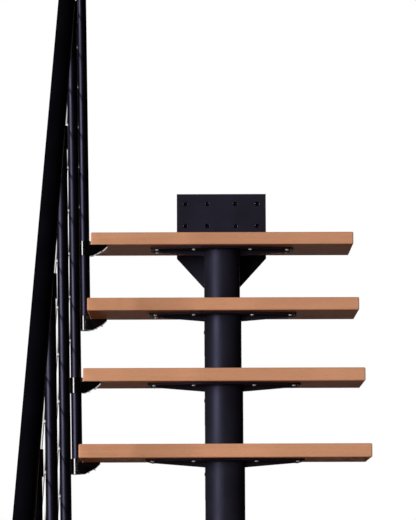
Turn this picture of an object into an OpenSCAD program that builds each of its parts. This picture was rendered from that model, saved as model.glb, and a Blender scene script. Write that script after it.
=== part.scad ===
// Modular staircase: a straight open-riser flight on one central spine of
// welded steel modules, hung at the top from a fixing plate, with a railing
// of posts, handrail and taut cables on its left side.
// Millimetres. Origin: centre of the floor flange's underside.
// +X is to the right of someone walking up, +Y is up the flight, +Z is up.

/* [Flight] */
// Horizontal distance from one tread to the next
going = 230; // [215:1:240]
// Height from one tread to the next
rise = 212; // [205:1:225]

/* [Treads] */
// Width of a tread, across the flight
tread_w = 740; // [640:10:940]
// Depth of a tread, front edge to rear edge
tread_d = 245; // [242:1:270]
// Thickness of a tread
tread_t = 35; // [30:1:42]
// Radius of the long edges of a tread
tread_edge_r = 3; // [1:0.5:6]
// Distance from a tread's front edge back to its column's axis
nose_reach = 105; // [95:1:120]

/* [Spine modules] */
// Outer diameter of the columns and rear sockets
column_d = 102; // [95:1:110]
// Wall thickness of the columns and rear sockets
column_wall = 4; // [3:0.5:6]
// Thickness of the plate under each tread
plate_t = 5; // [4:0.5:8]
// Distance from the column's axis to the tip of a tread arm
arm_reach = 202; // [180:1:230]
// Width of a tread arm at its tip
arm_tip_w = 88; // [70:1:110]
// Width of the tread plate where it passes over the column
arm_root_w = 144; // [120:1:170]
// Depth of the rib under a tread arm, at the column
rib_root_h = 15; // [10:1:25]
// Depth of the rib under a tread arm, at its tip
rib_tip_h = 3; // [2:0.5:6]
// Width of the channel that joins a column to its rear socket
link_w = 80; // [60:1:90]
// Height of that channel and of the rear socket
link_h = 90; // [70:1:100]
// Thickness of a spacer ring between a socket and the next column
ring_t = 6; // [3:1:12]

/* [Fixings] */
// Side of the square floor flange
flange_w = 200; // [180:5:240]
// Thickness of the floor flange
flange_t = 10; // [8:1:15]
// Distance between the anchor holes in the floor flange
flange_pitch = 150; // [140:5:160]
// Diameter of the anchor holes
anchor_d = 14; // [11:1:16]
// Width of the top fixing plate
top_w = 260; // [240:1:280]
// Thickness of the top fixing plate
top_t = 8; // [6:1:12]
// Height of the top fixing plate's upper edge above the last tread
top_rise = 147; // [120:1:160]
// Distance between the outer columns of holes in the top fixing plate
top_outer_pitch = 210; // [190:1:220]
// Distance between the inner columns of holes in the top fixing plate
top_inner_pitch = 82; // [70:1:100]
// Distance between the two rows of holes in the top fixing plate
top_row_pitch = 65; // [50:1:80]
// Diameter of the holes in the top fixing plate
top_hole_d = 13; // [10:1:14]

/* [Railing] */
// Diameter of the posts
post_d = 28; // [22:1:30]
// Outward lean of the posts, in degrees
post_lean = 0.95; // [0:0.05:1.5]
// Height of the handrail's centre above the line of tread edges
rail_h = 985; // [900:5:1050]
// Diameter of the handrail
rail_d = 45; // [38:1:50]
// Distance of the handrail's centre outside the tops of the posts
rail_out = 11; // [0:1:14]
// Wall thickness of the posts and the handrail
rail_wall = 2; // [1.5:0.5:3]
// Number of cables under the handrail
cable_count = 8; // [4:1:8]
// Diameter of a cable
cable_d = 5; // [3:0.5:6]
// Vertical distance between cables, and from the handrail to the first
cable_pitch = 115; // [90:1:120]
// Distance of the cables outside the surface of the posts
cable_out = 3; // [2.5:0.5:6]

/* [Hidden] */
$fn = 64;

// Colours
steel_black = [0.07, 0.07, 0.09];
beech = [0.77, 0.56, 0.42];
gloss_black = [0.02, 0.02, 0.02];
bright_steel = [0.75, 0.76, 0.78];

// Small distances
eps = 0.01;
fit_gap = 0.2;

// Column and socket
column_r = column_d / 2;
bore_r = column_r - column_wall;
link_wall = 5;
rib_t = 6;
arm_corner = 8;
arm_root_x = 60;
spigot_wall = 4;
spigot_reach = 20;

// Flight: the upper floor is one rise above the last tread
tread_count = 11;
flight_angle = atan(rise / going);
flight_step = sqrt(rise * rise + going * going);
tread_overlap = tread_d - going;

// Top fixing plate
top_gap = 3;
top_front_y = tread_d - nose_reach + top_gap;
top_edge_drop = 29;
top_square_h = 190;
end_flange_w = 100;
end_flange_t = 6;

// Railing
post_r = post_d / 2;
post_gap = 0.6;
post_x = -(tread_w / 2 + post_r + post_gap);
rail_r = rail_d / 2;
// Height of the handrail's centre above the foot of each post's axis
rail_over_foot = rail_h + rise + tread_t + tread_overlap / 2 * rise / going;
rail_x = post_x - tan(post_lean) * rail_over_foot - rail_out;
rail_past_low = 150;
rail_past_high = 190;
post_top_drop = 44;
collar_r = 17.5;
collar_up = 10;
collar_down = 31;
wedge_w = 24;
wedge_shift = 6;
wedge_drop = 31;
wedge_reach = 46;
wedge_knee = 35;
wedge_tip_h = 5;
wedge_heel = 6;
saddle_r = 17;
saddle_grip = 22;
saddle_top_drop = 9;
foot_r = 36;
foot_t = 6;
foot_socket_h = 26;
foot_socket_r = 18;
cap_t = 6;
cap_plug = 20;
clip_r = 5;
clip_wall = 1.6;
cable_past = 24;
ferrule_r = 5;
ferrule_l = 14;

// Heights and places of tread k, counted from 1 at the floor
function tread_top(k) = k * rise;
function tread_under(k) = k * rise - tread_t;
function axis_y(k) = (k - 1) * going;
function front_y(k) = axis_y(k) - nose_reach;
function plate_under(k) = tread_under(k) - plate_t;

// The post that stands at the front edge of tread k
function post_y(k) = front_y(k) + tread_overlap / 2;
function post_foot_z(k) = tread_under(k - 1);
function post_tread(n) = 2 * n - 1;
post_count = (tread_count + 1) / 2;

// Cable i, counted down from the handrail
function cable_over_foot(i) = rail_over_foot - i * cable_pitch;
function cable_x(i) = post_x - tan(post_lean) * cable_over_foot(i) - post_r - cable_out;

// A tube that stands on its end
module tube(outer_r, inner_r, length) {
    difference() {
        cylinder(h = length, r = outer_r);
        translate([0, 0, -eps])
            cylinder(h = length + 2 * eps, r = inner_r);
    }
}

// Turns what points up so that it points up the flight
module along_flight() {
    rotate([flight_angle - 90, 0, 0]) children();
}

// Moves what stands at the origin onto the leaning axis of the post at tread k
module on_post(k) {
    translate([post_x, post_y(k), post_foot_z(k)])
        rotate([0, -post_lean, 0]) children();
}

// One tread: a board with rounded long edges
module tread(k) {
    inner_d = tread_d - 2 * tread_edge_r;
    inner_t = tread_t - 2 * tread_edge_r;
    color(beech)
        translate([-tread_w / 2, front_y(k), tread_under(k)])
        rotate([90, 0, 90])
        linear_extrude(tread_w) {
            translate([tread_edge_r, 0]) square([inner_d, tread_t]);
            translate([0, tread_edge_r]) square([tread_d, inner_t]);
            for (y = [tread_edge_r, tread_d - tread_edge_r], z = [tread_edge_r, tread_t - tread_edge_r])
                translate([y, z]) circle(r = tread_edge_r);
        }
}

// Outline of the plate that carries a tread: two arms that widen to the column
module arm_outline() {
    tip = arm_tip_w / 2;
    root = arm_root_w / 2;
    polygon([
        [arm_reach, -tip + arm_corner], [arm_reach, tip - arm_corner],
        [arm_reach - arm_corner, tip], [arm_root_x, root],
        [-arm_root_x, root], [-arm_reach + arm_corner, tip],
        [-arm_reach, tip - arm_corner], [-arm_reach, -tip + arm_corner],
        [-arm_reach + arm_corner, -tip], [-arm_root_x, -root],
        [arm_root_x, -root], [arm_reach - arm_corner, -tip]]);
}

// The rib under one arm, in the plane of the column's axis
module arm_rib(side) {
    inner_x = column_r - column_wall / 2;
    outer_x = arm_reach - arm_corner;
    translate([0, rib_t / 2, 0])
        rotate([90, 0, 0])
        linear_extrude(rib_t)
        polygon([[side * inner_x, eps], [side * outer_x, eps],
            [side * outer_x, -rib_tip_h], [side * column_r, -rib_root_h],
            [side * inner_x, -rib_root_h]]);
}

// A channel, open below, from the column back to reach
module link_channel(reach) {
    difference() {
        translate([-link_w / 2, 0, -link_h]) cube([link_w, reach, link_h]);
        translate([-link_w / 2 + link_wall, -eps, -link_h - eps])
            cube([link_w - 2 * link_wall, reach + 2 * eps, link_h - link_wall + eps]);
        translate([0, 0, -link_h - eps])
            cylinder(h = link_h + 2 * eps, r = column_r - column_wall / 2);
        translate([0, going, -link_h - eps])
            cylinder(h = link_h + 2 * eps, r = column_r - column_wall / 2);
    }
}

// The rear socket, closed below, that the next column stands on
module rear_socket() {
    translate([0, going, -link_h])
        difference() {
            cylinder(h = link_h, r = column_r);
            translate([0, 0, column_wall]) cylinder(h = link_h, r = bore_r);
        }
}

// The upright end plate of the last module, against the top fixing plate
module end_flange() {
    translate([-end_flange_w / 2, top_front_y - end_flange_t, -link_h])
        cube([end_flange_w, end_flange_t, link_h]);
}

// One welded module: column, tread plate, ribs, and the link to the next one
module spine_module(k) {
    foot_z = k == 1 ? flange_t : plate_under(k - 1) + ring_t;
    last = k == tread_count;
    color(steel_black) {
        translate([0, axis_y(k), foot_z])
            tube(column_r, bore_r, plate_under(k) - foot_z + eps);
        translate([0, axis_y(k), plate_under(k)]) {
            linear_extrude(plate_t) arm_outline();
            arm_rib(1);
            arm_rib(-1);
            link_channel(last ? top_front_y - end_flange_t / 2 : going);
            if (last) end_flange();
            else rear_socket();
        }
    }
}

// Rings on the rear sockets, each with a sleeve that centres the next column
module spacer_rings() {
    color(steel_black)
        for (k = [1 : tread_count - 1])
            translate([0, axis_y(k) + going, plate_under(k)])
                difference() {
                    union() {
                        cylinder(h = ring_t, r = column_r);
                        translate([0, 0, -spigot_reach])
                            cylinder(h = ring_t + 2 * spigot_reach, r = bore_r - fit_gap);
                    }
                    translate([0, 0, -spigot_reach - eps])
                        cylinder(h = ring_t + 2 * spigot_reach + 2 * eps, r = bore_r - spigot_wall);
                }
}

// Square flange on the floor, with the spigot that centres the first column
module floor_flange() {
    color(steel_black)
        difference() {
            union() {
                translate([-flange_w / 2, -flange_w / 2, 0]) cube([flange_w, flange_w, flange_t]);
                cylinder(h = flange_t + spigot_reach, r = bore_r - fit_gap);
            }
            translate([0, 0, flange_t])
                cylinder(h = spigot_reach + eps, r = bore_r - spigot_wall);
            for (x = [-1, 1], y = [-1, 1])
                translate([x * flange_pitch / 2, y * flange_pitch / 2, -eps])
                    cylinder(h = flange_t + 2 * eps, d = anchor_d);
        }
}

// Fixing plate: a square upper part with eight holes, and a lower part that
// narrows to the width of the spine
module top_plate() {
    top_z = tread_top(tread_count) + top_rise;
    bottom_z = plate_under(tread_count) - link_h;
    shoulder_z = top_z - top_square_h;
    color(steel_black)
        translate([0, axis_y(tread_count) + top_front_y + top_t, 0])
        rotate([90, 0, 0])
        difference() {
            linear_extrude(top_t)
                polygon([[-top_w / 2, top_z], [top_w / 2, top_z], [top_w / 2, shoulder_z],
                    [column_r, bottom_z], [-column_r, bottom_z], [-top_w / 2, shoulder_z]]);
            for (x = [-1, 1], pitch = [top_outer_pitch, top_inner_pitch], row = [0, 1])
                translate([x * pitch / 2, top_z - top_edge_drop - row * top_row_pitch, -eps])
                    cylinder(h = top_t + 2 * eps, d = top_hole_d);
        }
}

// Post n: a leaning tube
module post(n) {
    foot = n == 1 ? foot_t + 1 - post_foot_z(1) : -collar_down;
    top = rail_over_foot - post_top_drop;
    color(steel_black)
        on_post(post_tread(n))
        translate([0, 0, foot])
        tube(post_r, post_r - rail_wall, top - foot);
}

// One bracket on the post at tread k: a collar, and a wedge screwed under the
// rear of the tread below (back = -1) or under the front of tread k (back = 1)
module bracket(k, back) {
    t = back == 1 ? k : k - 1;
    lift = tread_under(t) - post_foot_z(k);
    end_x = -tread_w / 2;
    difference() {
        union() {
            on_post(k)
                translate([0, 0, lift - collar_down])
                cylinder(h = collar_down + collar_up, r = collar_r);
            translate([0, post_y(k) + back * wedge_shift + wedge_w / 2, tread_under(t)])
                rotate([90, 0, 0])
                linear_extrude(wedge_w)
                polygon([[post_x, 0], [end_x + wedge_reach, 0],
                    [end_x + wedge_reach, -wedge_tip_h], [end_x + wedge_knee, -wedge_drop / 2],
                    [end_x + wedge_heel, -wedge_drop], [post_x, -wedge_drop]]);
        }
        on_post(k)
            translate([0, 0, lift - 2 * collar_down])
            cylinder(h = 4 * collar_down, r = post_r);
        translate([end_x - post_gap / 2, front_y(t) - tread_d, tread_under(t)])
            cube([tread_w, 3 * tread_d, tread_t]);
    }
}

// The brackets of post n; the first post has one, the others tie two treads
module brackets(n) {
    k = post_tread(n);
    color(gloss_black) {
        bracket(k, 1);
        if (n > 1) bracket(k, -1);
    }
}

// Floor socket of the first post
module post_foot() {
    color(gloss_black)
        difference() {
            union() {
                translate([post_x, post_y(1), 0]) cylinder(h = foot_t, r = foot_r);
                on_post(1)
                    translate([0, 0, -post_foot_z(1) + foot_t / 2])
                    cylinder(h = foot_socket_h, r = foot_socket_r);
            }
            on_post(1)
                translate([0, 0, -post_foot_z(1) + foot_t + 1])
                cylinder(h = 2 * foot_socket_h, r = post_r);
        }
}

// The handrail's axis runs up from here; along is the distance up the flight
module on_rail(along) {
    translate([rail_x, post_y(1), post_foot_z(1) + rail_over_foot])
        along_flight()
        translate([0, 0, along])
        children();
}

rail_length = rail_past_low + (tread_count - 1) * flight_step + rail_past_high;

// Round handrail tube
module handrail() {
    color(gloss_black)
        on_rail(-rail_past_low) tube(rail_r, rail_r - rail_wall, rail_length);
}

// Plugs that close the two ends of the handrail
module rail_caps() {
    color(gloss_black)
        for (end = [0, 1])
            on_rail(-rail_past_low + end * rail_length)
                mirror([0, 0, end]) {
                    translate([0, 0, -cap_t]) cylinder(h = cap_t, r = rail_r);
                    cylinder(h = cap_plug, r = rail_r - rail_wall - fit_gap);
                }
}

// Saddles that join the tops of the posts to the handrail's underside
module rail_saddles() {
    color(gloss_black)
        for (n = [1 : post_count])
            difference() {
                on_post(post_tread(n))
                    translate([0, 0, rail_over_foot - post_top_drop - saddle_grip])
                    cylinder(h = post_top_drop + saddle_grip - saddle_top_drop, r = saddle_r);
                on_post(post_tread(n))
                    cylinder(h = rail_over_foot - post_top_drop, r = post_r);
                on_rail(-rail_past_low) cylinder(h = rail_length, r = rail_r);
            }
}

// Places what lies on cable i, counted down from the handrail
module on_cable(i) {
    translate([cable_x(i), post_y(1), post_foot_z(1) + cable_over_foot(i)])
        along_flight() children();
}

cable_length = (tread_count - 1) * flight_step + 2 * cable_past;

// Taut cables from the first post to the last
module cables() {
    color(bright_steel)
        for (i = [1 : cable_count])
            on_cable(i) translate([0, 0, -cable_past]) cylinder(h = cable_length, d = cable_d);
}

// Clips on the outer sides of the posts, each around one cable
module cable_clips() {
    clip_l = post_r + cable_out + cable_d / 2 + clip_wall;
    color(bright_steel)
        for (n = [1 : post_count], i = [1 : cable_count])
            difference() {
                translate([cable_x(i) - cable_d / 2 - clip_wall, post_y(post_tread(n)),
                        post_foot_z(post_tread(n)) + cable_over_foot(i)])
                    rotate([0, 90, 0]) cylinder(h = clip_l, r = clip_r);
                on_post(post_tread(n)) cylinder(h = rail_over_foot, r = post_r);
                on_cable(i) translate([0, 0, -cable_past]) cylinder(h = cable_length, d = cable_d);
            }
}

// Swaged ends that hold each cable against the clips of the end posts
module cable_ends() {
    color(bright_steel)
        for (i = [1 : cable_count], end = [0, 1])
            on_cable(i)
                translate([0, 0, end * (cable_length - ferrule_l) - cable_past])
                tube(ferrule_r, cable_d / 2, ferrule_l);
}

floor_flange();
spine_module(1);  // module_01
spine_module(2);  // module_02
spine_module(3);  // module_03
spine_module(4);  // module_04
spine_module(5);  // module_05
spine_module(6);  // module_06
spine_module(7);  // module_07
spine_module(8);  // module_08
spine_module(9);  // module_09
spine_module(10);  // module_10
spine_module(11);  // module_11
spacer_rings();
top_plate();
tread(1);  // tread_01
tread(2);  // tread_02
tread(3);  // tread_03
tread(4);  // tread_04
tread(5);  // tread_05
tread(6);  // tread_06
tread(7);  // tread_07
tread(8);  // tread_08
tread(9);  // tread_09
tread(10);  // tread_10
tread(11);  // tread_11
post(1);  // post_1
post(2);  // post_2
post(3);  // post_3
post(4);  // post_4
post(5);  // post_5
post(6);  // post_6
brackets(1);  // brackets_1
brackets(2);  // brackets_2
brackets(3);  // brackets_3
brackets(4);  // brackets_4
brackets(5);  // brackets_5
brackets(6);  // brackets_6
post_foot();
rail_saddles();
handrail();
rail_caps();
cables();
cable_clips();
cable_ends();
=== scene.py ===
"""Looks of the modular staircase: finishes, screws, welds and stranded cables
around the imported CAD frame. Metres, in the frame of the CAD model."""

import math

import bmesh
import bpy
from mathutils import Matrix, Vector, noise


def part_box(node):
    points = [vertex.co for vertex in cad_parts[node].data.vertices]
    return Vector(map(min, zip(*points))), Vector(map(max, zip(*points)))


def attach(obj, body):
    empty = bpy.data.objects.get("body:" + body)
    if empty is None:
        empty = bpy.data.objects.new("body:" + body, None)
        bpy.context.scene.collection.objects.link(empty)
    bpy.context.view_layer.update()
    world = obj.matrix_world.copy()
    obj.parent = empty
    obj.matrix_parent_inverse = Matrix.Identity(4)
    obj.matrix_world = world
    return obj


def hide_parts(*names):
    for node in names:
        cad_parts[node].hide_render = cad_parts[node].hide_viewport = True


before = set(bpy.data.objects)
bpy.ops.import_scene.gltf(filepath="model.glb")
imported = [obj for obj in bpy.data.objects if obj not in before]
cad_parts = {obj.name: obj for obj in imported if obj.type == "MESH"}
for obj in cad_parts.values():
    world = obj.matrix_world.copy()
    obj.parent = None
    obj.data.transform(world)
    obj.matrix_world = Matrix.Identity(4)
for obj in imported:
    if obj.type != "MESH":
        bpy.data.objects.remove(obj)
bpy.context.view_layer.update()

BODY = "root"
MM = 0.001

# ---------------------------------------------------------------- sizes

TREADS = sorted(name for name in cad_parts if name.startswith("tread_"))
MODULES = sorted(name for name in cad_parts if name.startswith("module_"))
POSTS = sorted(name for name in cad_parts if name.startswith("post_") and name != "post_foot")

FIRST_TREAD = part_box(TREADS[0])
SECOND_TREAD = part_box(TREADS[1])
GOING = SECOND_TREAD[0][1] - FIRST_TREAD[0][1]
RISE = SECOND_TREAD[0][2] - FIRST_TREAD[0][2]
TREAD_DEPTH = FIRST_TREAD[1][1] - FIRST_TREAD[0][1]
TREAD_T = FIRST_TREAD[1][2] - FIRST_TREAD[0][2]
TREAD_END_X = FIRST_TREAD[0][0]
FLIGHT_ANGLE = math.atan2(RISE, GOING)

PLATE_T = 5 * MM
COLUMN_R = 51 * MM
FLANGE_T = 10 * MM
ANCHOR_REACH = 75 * MM
FOOT_T = 6 * MM
FOOT_SCREW_R = 26.5 * MM
POST_R = 14 * MM
POST_GAP = 0.6 * MM
COLLAR_R = 17.5 * MM
POST_LEAN = math.radians(0.95)
CABLE_R = 2.5 * MM
CABLE_LAY = 38 * MM
CABLE_STRANDS = 6
# Radius of a cable between two strands, as a part of its full radius
CABLE_GROOVE = 0.78
BOARD_EDGE_R = 3.2 * MM
# Smaller faces of a board, in m2, are its rounded edges
BOARD_FLAT_AREA = 0.004
# Ends of two cables are at least this far apart in height
CABLE_SPLIT = 50 * MM


# ------------------------------------------------------------ materials

def new_material(name):
    """An empty node material: its node tree and its shader."""
    material = bpy.data.materials.new(name)
    material.use_nodes = True
    tree = material.node_tree
    return material, tree, tree.nodes["Principled BSDF"]


def add_node(tree, kind, **values):
    """A node with its properties, and its inputs where a value's name has a space or a capital."""
    node = tree.nodes.new(kind)
    for key, value in values.items():
        label = key.replace("_", " ")
        if key[0].isupper():
            node.inputs[label].default_value = value
        else:
            setattr(node, key, value)
    return node


def stretched_position(tree, scale):
    """Position on the object, stretched by scale."""
    place = add_node(tree, "ShaderNodeTexCoord")
    mapping = add_node(tree, "ShaderNodeMapping", Scale=scale)
    tree.links.new(place.outputs["Object"], mapping.inputs["Vector"])
    return mapping.outputs["Vector"]


def noise_field(tree, scale, detail=3.0, roughness=0.5, stretch=(1, 1, 1), distortion=0.0):
    """A noise texture's value over the object."""
    field = add_node(tree, "ShaderNodeTexNoise", Scale=scale, Detail=detail, Roughness=roughness,
                     Distortion=distortion)
    tree.links.new(stretched_position(tree, stretch), field.inputs["Vector"])
    return field.outputs["Fac"]


def ramp(tree, value, *stops):
    """A colour ramp over value: stops are (place, colour)."""
    node = add_node(tree, "ShaderNodeValToRGB")
    elements = node.color_ramp.elements
    while len(elements) < len(stops):
        elements.new(0.5)
    for element, (place, colour) in zip(elements, stops):
        element.position = place
        element.color = (*colour, 1.0)
    tree.links.new(value, node.inputs["Fac"])
    return node.outputs["Color"]


def mapped(tree, value, low, high, to_low, to_high):
    """value, carried from low..high to to_low..to_high."""
    node = add_node(tree, "ShaderNodeMapRange")
    ends = {"From Min": low, "From Max": high, "To Min": to_low, "To Max": to_high}
    for socket, number in ends.items():
        node.inputs[socket].default_value = number
    tree.links.new(value, node.inputs["Value"])
    return node.outputs["Result"]


def mixed(tree, factor, first, second, blend="MIX"):
    """A mix of two colours, each a colour or a socket; factor is a number or a socket."""
    node = add_node(tree, "ShaderNodeMix", data_type="RGBA", blend_type=blend)
    for value, socket in ((factor, node.inputs[0]), (first, node.inputs[6]), (second, node.inputs[7])):
        if isinstance(value, bpy.types.NodeSocket):
            tree.links.new(value, socket)
        elif isinstance(value, (int, float)):
            socket.default_value = value
        else:
            socket.default_value = (*value, 1.0)
    return node.outputs[2]


def math_node(tree, operation, first, second):
    """A math node over two values, each a number or a socket."""
    node = add_node(tree, "ShaderNodeMath", operation=operation)
    for socket, value in zip(node.inputs, (first, second)):
        if isinstance(value, bpy.types.NodeSocket):
            tree.links.new(value, socket)
        else:
            socket.default_value = value
    return node.outputs[0]


def bump(tree, shader, height, strength, distance, normal=None):
    """Bumps the shader by a height field."""
    node = add_node(tree, "ShaderNodeBump", Strength=strength, Distance=distance)
    tree.links.new(height, node.inputs["Height"])
    if normal is not None:
        tree.links.new(normal, node.inputs["Normal"])
    tree.links.new(node.outputs["Normal"], shader.inputs["Normal"])


def edge_mask(tree, radius):
    """1 close to an edge and 0 elsewhere, and the rounded normal."""
    bevel = add_node(tree, "ShaderNodeBevel", samples=4, Radius=radius)
    flat = add_node(tree, "ShaderNodeNewGeometry")
    dot = add_node(tree, "ShaderNodeVectorMath", operation="DOT_PRODUCT")
    tree.links.new(bevel.outputs["Normal"], dot.inputs[0])
    tree.links.new(flat.outputs["Normal"], dot.inputs[1])
    return mapped(tree, dot.outputs["Value"], 0.98, 0.8, 0.0, 1.0), bevel.outputs["Normal"]


# The coating's highlights are slightly blue
COAT_SHEEN = (0.62, 0.60, 1.0, 1.0)


def coated_steel(name, base, worn, roughness, specular, grain, grain_depth, edge=1.2 * MM):
    """Black coating on steel: fine texture, cloudy gloss and slightly worn edges."""
    material, tree, shader = new_material(name)
    cloud = noise_field(tree, 9.0, 4.0)
    speck = noise_field(tree, grain, 2.0)
    wear, soft_normal = edge_mask(tree, edge)
    tone = ramp(tree, cloud, (0.3, [c * 0.8 for c in base]), (0.7, [c * 1.25 for c in base]))
    patchy = mapped(tree, noise_field(tree, 60.0, 4.0), 0.4, 0.75, 0.05, 0.6)
    worn_amount = math_node(tree, "MULTIPLY", wear, patchy)
    tree.links.new(mixed(tree, worn_amount, tone, worn), shader.inputs["Base Color"])
    tree.links.new(mapped(tree, cloud, 0.3, 0.7, roughness - 0.05, roughness + 0.06),
                   shader.inputs["Roughness"])
    shader.inputs["Specular IOR Level"].default_value = specular
    shader.inputs["Specular Tint"].default_value = COAT_SHEEN
    bump(tree, shader, speck, 0.35, grain_depth, soft_normal)
    return material


def moulded_gloss(name):
    """Glossy black moulded plastic with a faint orange peel."""
    material, tree, shader = new_material(name)
    ripple = noise_field(tree, 180.0, 2.0)
    dust = noise_field(tree, 45.0, 5.0)
    tree.links.new(ramp(tree, dust, (0.35, (0.0008, 0.0008, 0.001)), (0.75, (0.002, 0.002, 0.0024))),
                   shader.inputs["Base Color"])
    tree.links.new(mapped(tree, dust, 0.3, 0.75, 0.06, 0.12), shader.inputs["Roughness"])
    shader.inputs["Specular IOR Level"].default_value = 0.5
    _, soft_normal = edge_mask(tree, 1.0 * MM)
    bump(tree, shader, ripple, 0.05, 0.0002, soft_normal)
    return material


def bright_steel(name, base, roughness, scratch_stretch, metal):
    """Bright metal with fine drawn scratches along one direction."""
    material, tree, shader = new_material(name)
    scratches = noise_field(tree, 900.0, 3.0, stretch=scratch_stretch)
    cloud = noise_field(tree, 40.0, 3.0)
    tree.links.new(ramp(tree, cloud, (0.3, [c * 0.86 for c in base]), (0.7, base)),
                   shader.inputs["Base Color"])
    shader.inputs["Metallic"].default_value = metal
    tree.links.new(mapped(tree, scratches, 0.3, 0.7, roughness - 0.08, roughness + 0.1),
                   shader.inputs["Roughness"])
    bump(tree, shader, scratches, 0.15, 0.0002)
    return material


def stave_tone(tree, stave_w):
    """A value that changes from one glued stave of a board to the next."""
    place = add_node(tree, "ShaderNodeTexCoord")
    parts = add_node(tree, "ShaderNodeSeparateXYZ")
    tree.links.new(place.outputs["Object"], parts.inputs[0])
    count = math_node(tree, "DIVIDE", parts.outputs["Y"], stave_w)
    pick = add_node(tree, "ShaderNodeTexWhiteNoise", noise_dimensions="1D")
    tree.links.new(math_node(tree, "FLOOR", count, 0.0), pick.inputs["W"])
    return pick.outputs["Value"]


def lacquered_beech():
    """Pale reddish beech: glued staves, long faint grain and short dark flecks."""
    material, tree, shader = new_material("lacquered_beech")
    grain = noise_field(tree, 1.0, 5.0, 0.6, stretch=(2.2, 55.0, 75.0), distortion=0.6)
    fine = noise_field(tree, 1.0, 3.0, 0.55, stretch=(14.0, 420.0, 420.0))
    fleck = noise_field(tree, 1.0, 1.0, 0.5, stretch=(85.0, 900.0, 900.0))
    blotch = noise_field(tree, 3.5, 3.0)
    tone = ramp(tree, grain, (0.25, (0.470, 0.226, 0.124)), (0.5, (0.505, 0.250, 0.142)),
                (0.75, (0.535, 0.270, 0.158)))
    stave = mixed(tree, mapped(tree, stave_tone(tree, 41 * MM), 0.0, 1.0, 0.0, 0.35), tone,
                  (0.525, 0.264, 0.150))
    clouded = mixed(tree, mapped(tree, blotch, 0.35, 0.7, 0.0, 0.25), stave, (0.470, 0.226, 0.125))
    lined = mixed(tree, mapped(tree, fine, 0.55, 0.75, 0.0, 0.22), clouded, (0.41, 0.18, 0.09))
    flecked = mixed(tree, mapped(tree, fleck, 0.62, 0.72, 0.0, 0.35), lined, (0.31, 0.125, 0.062))
    wear, soft_normal = edge_mask(tree, 2.0 * MM)
    worn_amount = mapped(tree, wear, 0.0, 1.0, 0.0, 0.18)
    tree.links.new(mixed(tree, worn_amount, flecked, (0.66, 0.37, 0.23)), shader.inputs["Base Color"])
    tree.links.new(mapped(tree, fine, 0.3, 0.7, 0.40, 0.52), shader.inputs["Roughness"])
    shader.inputs["Specular IOR Level"].default_value = 0.08
    bump(tree, shader, fine, 0.2, 0.0003, soft_normal)
    return material


SPINE = coated_steel("spine_powder_coat", base=(0.0105, 0.0105, 0.0165), worn=(0.02, 0.02, 0.024),
                     roughness=0.48, specular=0.27, grain=1500.0, grain_depth=0.00025)
POST = coated_steel("post_powder_coat", base=(0.0006, 0.0006, 0.0012), worn=(0.02, 0.02, 0.024),
                    roughness=0.40, specular=0.35, grain=2200.0, grain_depth=0.0001)
RAIL = coated_steel("rail_coating", base=(0.0012, 0.0011, 0.0018), worn=(0.01, 0.01, 0.01),
                    roughness=0.55, specular=0.10, grain=1800.0, grain_depth=0.00015)
WELD = coated_steel("weld_coat", base=(0.008, 0.008, 0.012), worn=(0.03, 0.03, 0.035),
                    roughness=0.45, specular=0.3, grain=900.0, grain_depth=0.0004)
GLOSS = moulded_gloss("moulded_gloss_black")
CABLE = bright_steel("stranded_steel", base=(0.90, 0.90, 0.90), roughness=0.40,
                     scratch_stretch=(1, 1, 1), metal=0.35)
FERRULE = bright_steel("swaged_steel", base=(0.88, 0.88, 0.88), roughness=0.38,
                       scratch_stretch=(1, 0.1, 0.1), metal=0.4)
ZINC = bright_steel("zinc_screws", base=(0.90, 0.90, 0.90), roughness=0.30,
                    scratch_stretch=(1, 1, 0.1), metal=0.35)
BEECH = lacquered_beech()

NODE_FINISH = {
    "floor_flange": SPINE, "spacer_rings": SPINE, "top_plate": SPINE, "post_foot": GLOSS,
    "rail_saddles": GLOSS, "handrail": RAIL, "rail_caps": RAIL, "cable_ends": FERRULE,
    "cable_clips": FERRULE,
}


def finish_of(node):
    """The material of a CAD node that stays visible."""
    if node in NODE_FINISH:
        return NODE_FINISH[node]
    if node.startswith("module_"):
        return SPINE
    if node.startswith("post_"):
        return POST
    return GLOSS


def dress_nodes():
    """Gives every CAD node its procedural material."""
    for name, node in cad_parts.items():
        if node.type != "MESH":
            continue
        node.data.materials.clear()
        node.data.materials.append(finish_of(name))


# --------------------------------------------------------------- pieces

def add_piece(name, mesh_code, material, replaced=()):
    """Turns mesh code into a piece on the stair, with its finish."""
    mesh = bpy.data.meshes.new(name)
    mesh_code.to_mesh(mesh)
    mesh_code.free()
    mesh.materials.append(material)
    piece = bpy.data.objects.new(name, mesh)
    bpy.context.scene.collection.objects.link(piece)
    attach(piece, BODY)
    if replaced:
        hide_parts(*replaced)
    return piece


def lathe(mesh_code, profile, matrix, sides=24):
    """Turns a profile of (radius, height) around +Z and closes its ends, then places it."""
    rings = []
    for radius, height in profile:
        ring = []
        for step in range(sides):
            angle = 2 * math.pi * step / sides
            point = Vector((radius * math.cos(angle), radius * math.sin(angle), height))
            ring.append(mesh_code.verts.new(matrix @ point))
        rings.append(ring)
    for lower, upper in zip(rings, rings[1:]):
        for step in range(sides):
            after = (step + 1) % sides
            face = mesh_code.faces.new((lower[step], lower[after], upper[after], upper[step]))
            face.smooth = True
    mesh_code.faces.new(list(reversed(rings[0])))
    mesh_code.faces.new(rings[-1])


def pan_head(mesh_code, matrix, radius=5.2 * MM, height=3.4 * MM):
    """A pan-head screw with a round socket, its seat on the plane z = 0."""
    socket = 0.42 * radius
    profile = [(radius * 0.98, 0.0), (radius, height * 0.25), (radius * 0.94, height * 0.62),
               (radius * 0.78, height * 0.88), (radius * 0.58, height), (socket * 1.1, height),
               (socket, height * 0.92), (socket * 0.95, height * 0.4)]
    lathe(mesh_code, profile, matrix, 18)


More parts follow.
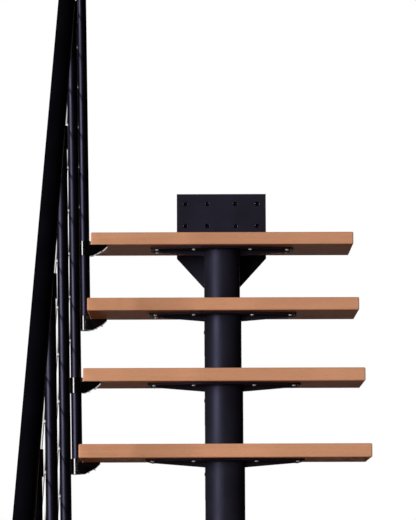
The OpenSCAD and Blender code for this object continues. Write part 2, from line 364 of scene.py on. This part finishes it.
def hex_bolt(mesh_code, matrix, across=19 * MM, height=12 * MM, washer_r=14 * MM):
    """A nut with chamfered corners on a washer, with the end of its stud."""
    washer_t = 2.5 * MM
    lathe(mesh_code, [(washer_r - 0.4 * MM, 0.0), (washer_r, 0.5 * MM), (washer_r, washer_t - 0.5 * MM),
                      (washer_r - 0.6 * MM, washer_t)], matrix, 32)
    corner = across / math.sqrt(3)
    lift = matrix @ Matrix.Translation((0, 0, washer_t))
    lathe(mesh_code, [(corner * 0.93, 0.0), (corner, 1.2 * MM), (corner, height - 1.2 * MM),
                      (corner * 0.9, height)], lift, 6)
    stud_r = 6 * MM
    stud_top = height + 6 * MM
    lathe(mesh_code, [(stud_r, 0.0), (stud_r, stud_top), (stud_r - 1 * MM, stud_top + 1 * MM)],
          lift, 20)


DOWN = Matrix.Rotation(math.pi, 4, "X")


def make_tread(index, name):
    """One board: all its edges rounded, the long ones as in the frame."""
    low, high = (Vector(corner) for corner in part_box(name))
    size = high - low
    middle = (high + low) / 2
    mesh_code = bmesh.new()
    bmesh.ops.create_cube(mesh_code, size=1.0)
    for vert in mesh_code.verts:
        vert.co = Vector((vert.co.x * size.x, vert.co.y * size.y, vert.co.z * size.z)) + middle
    bmesh.ops.bevel(mesh_code, geom=mesh_code.edges[:], offset=BOARD_EDGE_R, segments=4, profile=0.5,
                    affect="EDGES")
    for face in mesh_code.faces:
        face.smooth = face.calc_area() < BOARD_FLAT_AREA
    add_piece(f"board_{index:02d}", mesh_code, BEECH, [name])


# Screws in an arm: distance from the middle of the tread, and across from the arm's axis
ARM_SCREWS = ((185 * MM, 32 * MM), (80 * MM, 44 * MM))


def make_arm_screws(index, name):
    """The screws that hold one board, up through the arms of its module."""
    axis_y = (index - 1) * GOING
    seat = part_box(name)[0][2] - PLATE_T
    mesh_code = bmesh.new()
    for side in (-1, 1):
        for x, reach in ARM_SCREWS:
            for across in (-1, 1):
                place = Matrix.Translation((side * x, axis_y + across * reach, seat))
                pan_head(mesh_code, place @ DOWN)
    add_piece(f"arm_screws_{index:02d}", mesh_code, ZINC)


def bracket_spots():
    """Every bracket: (tread index, the post's tread index, side of the post towards the board)."""
    for post in range(1, len(POSTS) + 1):
        tread = 2 * post - 1
        yield tread, tread, 1
        if tread > 1:
            yield tread - 1, tread, -1


def post_y(tread):
    """Distance up the flight of the post at the front edge of a tread."""
    return (tread - 1) * GOING + FIRST_TREAD[0][1] + (TREAD_DEPTH - GOING) / 2


# A wedge's distance from its post along the flight, the slope of its underside, and the places of
# its two screws: in from the end of the board, down from its underside, and along the flight
WEDGE_SHIFT = 6 * MM
WEDGE_RISE = 15.5 * MM
WEDGE_RUN = 29 * MM
WEDGE_SCREWS = ((16 * MM, 25.5 * MM, -5 * MM), (31 * MM, 17.5 * MM, 5 * MM))


def make_bracket_screws():
    """Two screws in the sloping underside of each bracket's wedge."""
    mesh_code = bmesh.new()
    slope = math.atan2(WEDGE_RISE, WEDGE_RUN)
    for tread, post_tread, side in bracket_spots():
        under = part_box(TREADS[tread - 1])[0][2]
        y = post_y(post_tread) + side * WEDGE_SHIFT
        for reach, drop, across in WEDGE_SCREWS:
            place = Matrix.Translation((TREAD_END_X + reach, y + across, under - drop))
            tilt = Matrix.Rotation(math.pi + slope, 4, "Y")
            pan_head(mesh_code, place @ tilt, 3.6 * MM, 2.2 * MM)
    add_piece("bracket_screws", mesh_code, ZINC)


def make_collar_screws():
    """A grub screw in the outer side of each collar, and two in each rear socket."""
    grub_drop = 10 * MM
    socket_screw_drop = 22 * MM
    sink = 0.6 * MM
    mesh_code = bmesh.new()
    outward = Matrix.Rotation(-math.pi / 2, 4, "Y")
    for tread, post_tread, side in bracket_spots():
        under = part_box(TREADS[tread - 1])[0][2]
        foot = (post_tread - 1) * RISE - TREAD_T
        lean_x = math.tan(POST_LEAN) * (under - grub_drop - foot)
        x = TREAD_END_X - POST_GAP - POST_R - COLLAR_R - lean_x + 0.4 * MM
        place = Matrix.Translation((x, post_y(post_tread), under - grub_drop))
        pan_head(mesh_code, place @ outward, 3.0 * MM, 1.4 * MM)
    for index in range(1, len(MODULES)):
        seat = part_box(TREADS[index - 1])[0][2] - PLATE_T - socket_screw_drop
        for side in (-1, 1):
            turn = Matrix.Rotation(side * math.pi / 2, 4, "Y")
            place = Matrix.Translation((side * (COLUMN_R - sink), index * GOING, seat))
            pan_head(mesh_code, place @ turn, 5.0 * MM, 2.0 * MM)
    add_piece("grub_screws", mesh_code, GLOSS)


def make_anchors():
    """Anchor bolts in the floor flange, and screws in the first post's foot."""
    mesh_code = bmesh.new()
    for x in (-ANCHOR_REACH, ANCHOR_REACH):
        for y in (-ANCHOR_REACH, ANCHOR_REACH):
            hex_bolt(mesh_code, Matrix.Translation((x, y, FLANGE_T)))
    foot_low, foot_high = (Vector(corner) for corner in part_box("post_foot"))
    middle = (foot_low + foot_high) / 2
    for turn in range(3):
        angle = math.radians(90 + 120 * turn)
        place = Matrix.Translation((middle.x + FOOT_SCREW_R * math.cos(angle),
                                    middle.y + FOOT_SCREW_R * math.sin(angle), FOOT_T))
        pan_head(mesh_code, place, 5.0 * MM, 2.6 * MM)
    add_piece("floor_fixings", mesh_code, ZINC)


def weld_ring(mesh_code, centre, radius, bead=2.6 * MM, ripple=3.2 * MM, sides=8):
    """A rippled fillet weld around a tube, in the plane z = centre.z."""
    steps = int(2 * math.pi * radius / ripple)
    rings = []
    for step in range(steps):
        angle = 2 * math.pi * step / steps
        out = Vector((math.cos(angle), math.sin(angle), 0))
        uneven = 0.25 * noise.noise(out * 7 + centre * 9)
        swell = bead * (1 + 0.16 * math.cos(math.pi * step) + uneven)
        ring = []
        for side in range(sides):
            turn = 2 * math.pi * side / sides
            point = out * (radius + swell * math.cos(turn)) + Vector((0, 0, swell * math.sin(turn)))
            ring.append(mesh_code.verts.new(centre + point))
        rings.append(ring)
    for first, second in zip(rings, rings[1:] + rings[:1]):
        for side in range(sides):
            after = (side + 1) % sides
            face = mesh_code.faces.new((first[side], second[side], second[after], first[after]))
            face.smooth = True


def make_welds():
    """Fillet welds under each tread plate, around the column."""
    mesh_code = bmesh.new()
    for index in range(1, len(MODULES) + 1):
        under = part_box(TREADS[index - 1])[0][2] - PLATE_T
        centre = Vector((0, (index - 1) * GOING, under - 0.6 * MM))
        weld_ring(mesh_code, centre, COLUMN_R)
    add_piece("weld_beads", mesh_code, WELD)


def make_cables():
    """Stranded cables from end to end, each a bundle of six twisted outer strands."""
    low, high = (Vector(corner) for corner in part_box("cables"))
    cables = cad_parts["cables"]
    direction = Vector((0, math.cos(FLIGHT_ANGLE), math.sin(FLIGHT_ANGLE)))
    right = Vector((1, 0, 0))
    up = right.cross(direction)
    starts = cable_starts(cables)
    run = high.y - low.y - 2 * CABLE_R * math.sin(FLIGHT_ANGLE)
    length = run / math.cos(FLIGHT_ANGLE)
    ring_gap = 4 * MM
    count = 2 * CABLE_STRANDS
    for number, start in enumerate(starts, 1):
        mesh_code = bmesh.new()
        rings = []
        steps = int(length / ring_gap)
        for step in range(steps + 1):
            along = length * step / steps
            ring = []
            for side in range(count):
                angle = 2 * math.pi * side / count + 2 * math.pi * along / CABLE_LAY
                radius = CABLE_R if side % 2 == 0 else CABLE_R * CABLE_GROOVE
                offset = right * (radius * math.cos(angle)) + up * (radius * math.sin(angle))
                ring.append(mesh_code.verts.new(start + direction * along + offset))
            rings.append(ring)
        for first, second in zip(rings, rings[1:]):
            for side in range(count):
                after = (side + 1) % count
                face = mesh_code.faces.new((first[side], first[after], second[after], second[side]))
                face.smooth = True
        mesh_code.faces.new(list(reversed(rings[0])))
        mesh_code.faces.new(rings[-1])
        replaced = ["cables"] if number == 1 else []
        add_piece(f"strand_{number}", mesh_code, CABLE, replaced)


def cable_starts(cables):
    """The lower end of each cable's axis, read from the frame's rods."""
    low_y = min(vert.co.y for vert in cables.data.vertices)
    points = [vert.co.copy() for vert in cables.data.vertices if vert.co.y < low_y + 4 * CABLE_R]
    points.sort(key=lambda point: -point.z)
    ends = [[points[0]]]
    for above, point in zip(points, points[1:]):
        if above.z - point.z > CABLE_SPLIT:
            ends.append([])
        ends[-1].append(point)
    return [sum(end, Vector()) / len(end) for end in ends]


# Holes of the top plate: along it, and down from its top edge
TOP_HOLES_X = (-105 * MM, -41 * MM, 41 * MM, 105 * MM)
TOP_HOLES_DROP = (29 * MM, 94 * MM)


def make_hole_shade_discs():
    """Painted shade: black discs sunk in the eight holes of the top fixing plate, standing in for the
    dark inside the holes.
    """
    high = Vector(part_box("top_plate")[1])
    mesh_code = bmesh.new()
    back = Matrix.Rotation(math.pi / 2, 4, "X")
    for x in TOP_HOLES_X:
        for drop in TOP_HOLES_DROP:
            place = Matrix.Translation((x, high.y - 0.4 * MM, high.z - drop))
            lathe(mesh_code, [(6.3 * MM, 0.0), (6.3 * MM, 2.2 * MM), (5.4 * MM, 2.6 * MM),
                              (2.0 * MM, 2.4 * MM)], place @ back, 24)
    add_piece("hole_shade_discs", mesh_code, RAIL)


# ---------------------------------------------------------------- stage

# Strength of the surroundings, for diffuse light and for reflections
AMBIENT = 0.10
AMBIENT_GLOSS = 0.004
# Reflections see white where their direction's +Y part is over the first, in full at the second
BACKDROP_START = 0.92
BACKDROP_FULL = 0.99
FLOOR_HALF = 20.0


def make_floor():
    """A plain pale floor. Only the camera sees it pale, so that the
    boards' undersides stay shaded, and from below it is clear."""
    mesh_code = bmesh.new()
    corners = [(x * FLOOR_HALF, y * FLOOR_HALF) for x, y in ((-1, -1), (1, -1), (1, 1), (-1, 1))]
    mesh_code.faces.new([mesh_code.verts.new((x, y, 0.0)) for x, y in corners])
    mesh = bpy.data.meshes.new("floor")
    mesh_code.to_mesh(mesh)
    mesh_code.free()
    material, tree, shader = new_material("floor_paint")
    path = add_node(tree, "ShaderNodeLightPath")
    tint = mixed(tree, path.outputs["Is Camera Ray"], (0.20, 0.12, 0.085), (0.80, 0.80, 0.80))
    tree.links.new(tint, shader.inputs["Base Color"])
    shader.inputs["Roughness"].default_value = 0.9
    shader.inputs["Specular IOR Level"].default_value = 0.1
    side = add_node(tree, "ShaderNodeNewGeometry")
    clear = add_node(tree, "ShaderNodeBsdfTransparent")
    either = add_node(tree, "ShaderNodeMixShader")
    tree.links.new(side.outputs["Backfacing"], either.inputs[0])
    tree.links.new(shader.outputs[0], either.inputs[1])
    tree.links.new(clear.outputs[0], either.inputs[2])
    tree.links.new(either.outputs[0], tree.nodes["Material Output"].inputs["Surface"])
    mesh.materials.append(material)
    floor = bpy.data.objects.new("floor", mesh)
    bpy.context.scene.collection.objects.link(floor)


def make_world():
    """White to the camera, white behind the stair to reflections, and dim to everything else."""
    world = bpy.data.worlds.new("studio")
    bpy.context.scene.world = world
    world.use_nodes = True
    tree = world.node_tree
    tree.nodes.clear()
    path = add_node(tree, "ShaderNodeLightPath")
    place = add_node(tree, "ShaderNodeTexCoord")
    parts = add_node(tree, "ShaderNodeSeparateXYZ")
    tree.links.new(place.outputs["Generated"], parts.inputs[0])
    behind = mapped(tree, parts.outputs["Y"], BACKDROP_START, BACKDROP_FULL, 0.0, 1.0)
    glossy = math_node(tree, "MULTIPLY", path.outputs["Is Glossy Ray"], behind)
    through = math_node(tree, "MAXIMUM", path.outputs["Is Transmission Ray"], glossy)
    seen = math_node(tree, "MAXIMUM", path.outputs["Is Camera Ray"], through)
    dim = add_node(tree, "ShaderNodeBackground", Color=(1.0, 0.80, 0.68, 1.0))
    level = mapped(tree, path.outputs["Is Glossy Ray"], 0.0, 1.0, AMBIENT, AMBIENT_GLOSS)
    tree.links.new(level, dim.inputs["Strength"])
    white = add_node(tree, "ShaderNodeBackground", Color=(1.0, 1.0, 1.0, 1.0), Strength=1.0)
    mix = add_node(tree, "ShaderNodeMixShader")
    out = add_node(tree, "ShaderNodeOutputWorld")
    tree.links.new(seen, mix.inputs[0])
    tree.links.new(dim.outputs[0], mix.inputs[1])
    tree.links.new(white.outputs[0], mix.inputs[2])
    tree.links.new(mix.outputs[0], out.inputs["Surface"])


def add_softbox(name, place, target, width, height, power, mirrored=True):
    """A rectangular lamp turned to the target; mirrored says if reflections show it."""
    light = bpy.data.lights.new(name, "AREA")
    light.shape = "RECTANGLE"
    light.size = width
    light.size_y = height
    light.energy = power
    lamp = bpy.data.objects.new(name, light)
    lamp.location = place
    lamp.rotation_euler = (Vector(target) - Vector(place)).to_track_quat("-Z", "Y").to_euler()
    lamp.visible_glossy = mirrored
    bpy.context.scene.collection.objects.link(lamp)


def make_lights():
    """A large softbox from the front left, and a weak one from behind the camera."""
    middle = (0.0, 1.2, 1.5)
    add_softbox("key", (-8.3, -6.5, 3.7), middle, 3.8, 5.0, 1450.0)
    add_softbox("fill", (-3.4, -7.6, 2.6), middle, 4.0, 3.0, 450.0, mirrored=False)


CAMERA_PLACE = (-0.0643, -4.9046, 1.3248)
CAMERA_YAW = math.radians(-0.195)
CAMERA_PITCH = math.radians(7.443)
CAMERA_ROLL = math.radians(0.183)
CAMERA_LENS = 176.06


def make_camera():
    """The camera at the foot of the flight, looking slightly up at the last treads."""
    data = bpy.data.cameras.new("camera")
    data.lens = CAMERA_LENS
    data.sensor_width = 36.0
    data.clip_end = 200.0
    camera = bpy.data.objects.new("camera", data)
    turn = (Matrix.Rotation(CAMERA_YAW, 4, "Z") @ Matrix.Rotation(CAMERA_PITCH, 4, "X")
            @ Matrix.Rotation(CAMERA_ROLL, 4, "Y") @ Matrix.Rotation(math.pi / 2, 4, "X"))
    camera.matrix_world = Matrix.Translation(CAMERA_PLACE) @ turn
    bpy.context.scene.collection.objects.link(camera)
    bpy.context.scene.camera = camera


# ---------------------------------------------------------------- build

make_camera()
make_world()
make_lights()
make_floor()
dress_nodes()
for number, tread_name in enumerate(TREADS, 1):
    make_tread(number, tread_name)
    make_arm_screws(number, tread_name)
make_bracket_screws()
make_collar_screws()
make_anchors()
make_welds()
# Black discs in the top plate's holes are painted shade, not real plugs
make_hole_shade_discs()
make_cables()

bpy.context.scene.view_settings.view_transform = "Standard"
